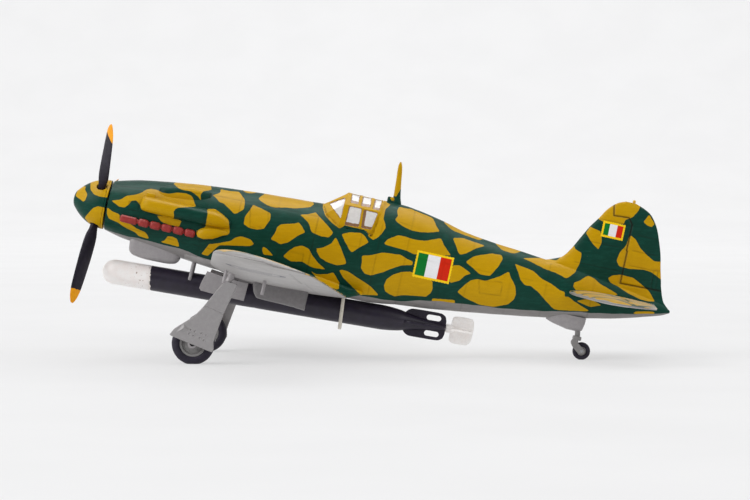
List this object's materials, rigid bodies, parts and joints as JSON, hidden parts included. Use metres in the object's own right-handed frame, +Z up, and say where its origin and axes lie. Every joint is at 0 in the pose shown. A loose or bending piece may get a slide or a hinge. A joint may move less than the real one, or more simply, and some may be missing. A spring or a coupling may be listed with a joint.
{
  "type": "propeller plane model",
  "caption": "Scale model of a low-wing propeller fighter with a slung torpedo, standing on its wheels; the propeller and the wheels turn.",
  "frame": {"origin": "on the ground under the middle of the model's bounding box, with the model standing on its three tyres", "axes": "+Z up, nose towards -X, tail towards +X, left wing towards -Y, right wing towards +Y"},
  "size_m": [0.1284, 0.1646, 0.0497],
  "materials": {
    "camouflage_paint": "ochre and dark green brush-painted blotches on moulded plastic, satin to gloss",
    "grey_paint": "light warm grey satin paint",
    "exhaust_paint": "red-brown satin paint",
    "tyre_rubber": "matt black tyre",
    "black_paint": "black satin paint with a violet cast",
    "white_paint": "warm white satin paint",
    "clear_canopy": "clear moulded canopy with ochre-painted frames",
    "cockpit_paint": "dull green interior paint",
    "dark_plastic": "black moulded plastic",
    "brass_bush": "turned brass bush",
    "steel_pin": "drawn steel pins"
  },
  "bodies": {
    "airframe": {"fuselage_left": "camouflage_paint", "fuselage_right": "camouflage_paint", "wing_bottom": "grey_paint", "wing_top_left": "camouflage_paint", "wing_top_right": "camouflage_paint", "tailplane_left": "camouflage_paint", "tailplane_right": "camouflage_paint", "fin_light": "camouflage_paint", "nose_plate": "dark_plastic", "shaft_bearing": "brass_bush", "exhaust_left": "exhaust_paint", "exhaust_right": "exhaust_paint", "supercharger_intake": "camouflage_paint", "gun_fairings": "camouflage_paint", "oil_cooler": "grey_paint", "oil_cooler_core": "dark_plastic", "canopy": "clear_canopy", "cockpit_floor": "cockpit_paint", "rear_bulkhead": "cockpit_paint", "seat": "cockpit_paint", "instrument_panel": "cockpit_paint", "control_stick": "cockpit_paint", "antenna_mast": "camouflage_paint", "radiator_left": "grey_paint", "radiator_right": "grey_paint", "inner_door_left": "grey_paint", "inner_door_right": "grey_paint", "wing_pins": "grey_paint", "gear_leg_left": "grey_paint", "gear_leg_right": "grey_paint", "gear_cover_left": "grey_paint", "gear_cover_right": "grey_paint", "main_axle_left": "steel_pin", "main_axle_right": "steel_pin", "torpedo_rack": "grey_paint", "torpedo_braces": "grey_paint", "torpedo_rods": "white_paint", "torpedo_warhead": "white_paint", "torpedo_body": "black_paint", "torpedo_fins": "black_paint", "torpedo_air_tail": "white_paint", "tailwheel_fairing": "grey_paint", "tailwheel_fork": "grey_paint", "tailwheel_axle": "steel_pin"},
    "propeller": {"spinner": "camouflage_paint", "spinner_backplate": "camouflage_paint", "propeller": "black_paint", "propeller_shaft": "steel_pin", "shaft_collar": "steel_pin"},
    "wheel_left": {"wheel_hub_left": "grey_paint", "tyre_left": "tyre_rubber"},
    "wheel_right": {"wheel_hub_right": "grey_paint", "tyre_right": "tyre_rubber"},
    "tail_wheel": {"tailwheel_hub": "grey_paint", "tailwheel_tyre": "tyre_rubber"}
  },
  "joints": [
    {"name": "propeller_spin", "type": "hinge", "parent": "airframe", "child": "propeller", "pos_m": [-0.05918, 0, 0.03315], "axis": [0.9785, 0, -0.2062], "continuous": true},
    {"name": "wheel_left_spin", "type": "hinge", "parent": "airframe", "child": "wheel_left", "pos_m": [-0.03687, -0.0208, 0.00426], "axis": [0, 1, 0], "continuous": true},
    {"name": "wheel_right_spin", "type": "hinge", "parent": "airframe", "child": "wheel_right", "pos_m": [-0.03687, 0.0208, 0.00426], "axis": [0, 1, 0], "continuous": true},
    {"name": "tail_wheel_spin", "type": "hinge", "parent": "airframe", "child": "tail_wheel", "pos_m": [0.04523, 0, 0.00186], "axis": [0, 1, 0], "continuous": true}
  ]
}
